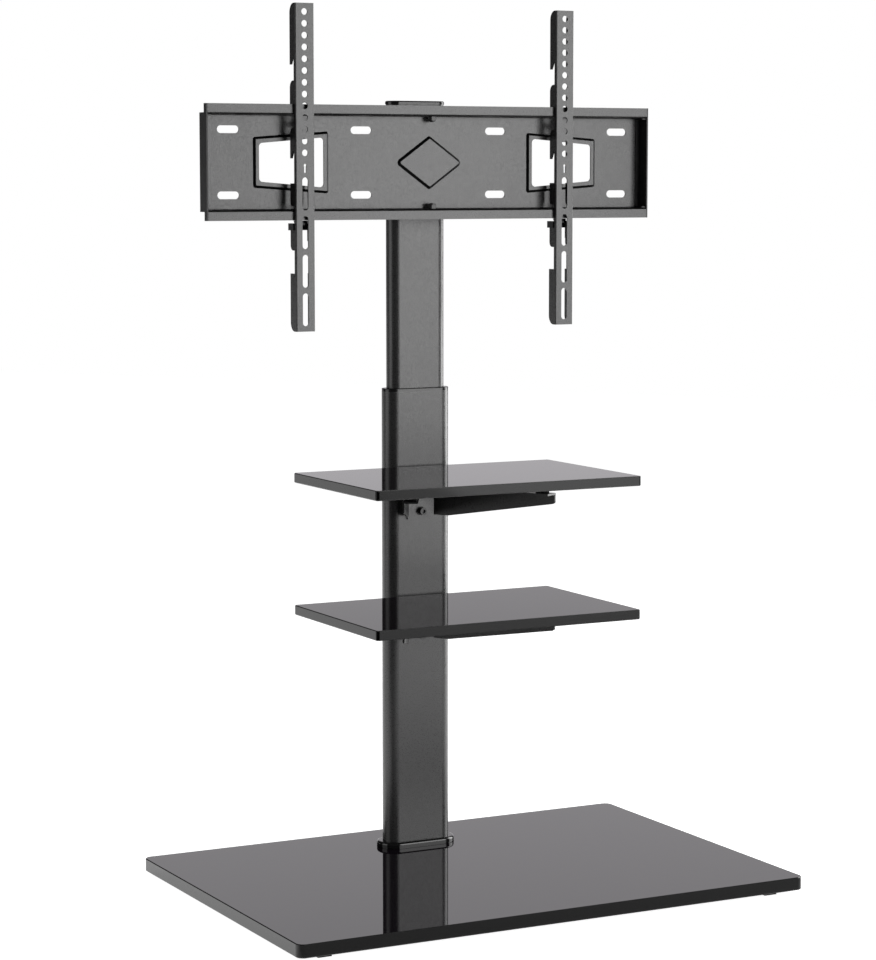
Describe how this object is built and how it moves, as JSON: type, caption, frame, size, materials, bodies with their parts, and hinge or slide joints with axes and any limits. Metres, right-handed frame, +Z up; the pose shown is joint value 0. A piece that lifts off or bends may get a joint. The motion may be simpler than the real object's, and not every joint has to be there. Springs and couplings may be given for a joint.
{
  "type": "tv stand with mount",
  "caption": "Floor stand for a television: gloss slab base, telescopic oval column, two shelves on V brackets, and a swivelling slotted mount plate with sliding hook brackets.",
  "frame": {"origin": "on the floor, at the middle of the base slab's footprint", "axes": "+Z up along the column, -Y towards the viewer and the television, +X to the right seen from the front"},
  "size_m": [0.727, 0.5, 1.1551],
  "materials": {
    "powder_coat": "fine-textured dark grey powder coat, satin",
    "black_glass": "opaque black, polished, chamfered edges",
    "gloss_trim": "black, smooth",
    "black_plastic": "black, moulded",
    "black_rubber": "black, matte",
    "black_oxide": "black screws and nuts, smooth",
    "zinc_steel": "zinc plated, hidden"
  },
  "bodies": {
    "stand": {"base_slab": "black_glass", "base_tie_plate": "powder_coat", "base_feet": "black_rubber", "base_bolts": "black_oxide", "column_foot": "zinc_steel", "base_collar": "gloss_trim", "outer_column": "powder_coat", "guide_ring": "gloss_trim", "height_bolts": "black_oxide", "height_washers": "black_oxide", "height_nut_plate": "zinc_steel", "upper_shelf": "black_glass", "lower_shelf": "black_glass", "upper_shelf_bracket": "powder_coat", "lower_shelf_bracket": "powder_coat", "upper_shelf_pads": "black_rubber", "lower_shelf_pads": "black_rubber", "shelf_bolts": "black_oxide", "shelf_washers": "black_oxide", "shelf_nuts": "zinc_steel"},
    "lift": {"inner_column": "powder_coat", "glide_shoes": "black_plastic", "column_cap": "gloss_trim", "swivel_yoke": "powder_coat", "yoke_bolts": "black_oxide", "yoke_nut_plate": "zinc_steel", "pivot_bolts": "black_oxide", "slip_washers": "black_plastic", "pivot_nuts": "black_oxide"},
    "mount": {"mount_plate": "powder_coat", "end_cap_left": "black_plastic", "end_cap_right": "black_plastic"},
    "left_bracket": {"tv_bracket_left": "powder_coat"},
    "right_bracket": {"tv_bracket_right": "powder_coat"},
    "left_lock": {"lock_bar_left": "powder_coat"},
    "right_lock": {"lock_bar_right": "powder_coat"}
  },
  "joints": [
    {"name": "height_slide", "type": "slide", "parent": "stand", "child": "lift", "axis": [0, 0, 1], "range_m": [-0.07, 0.05]},
    {"name": "swivel", "type": "hinge", "parent": "lift", "child": "mount", "pos_m": [0, 0.106, 0.9519], "axis": [0, 0, 1], "range_deg": [-30, 30]},
    {"name": "left_bracket_slide", "type": "slide", "parent": "mount", "child": "left_bracket", "axis": [1, 0, 0], "range_m": [-0.107, 0.093]},
    {"name": "right_bracket_slide", "type": "slide", "parent": "mount", "child": "right_bracket", "axis": [1, 0, 0], "range_m": [-0.093, 0.107]},
    {"name": "left_lock_slide", "type": "slide", "parent": "left_bracket", "child": "left_lock", "axis": [0, 0, 1], "range_m": [0, 0.0036]},
    {"name": "right_lock_slide", "type": "slide", "parent": "right_bracket", "child": "right_lock", "axis": [0, 0, 1], "range_m": [0, 0.0036]}
  ]
}
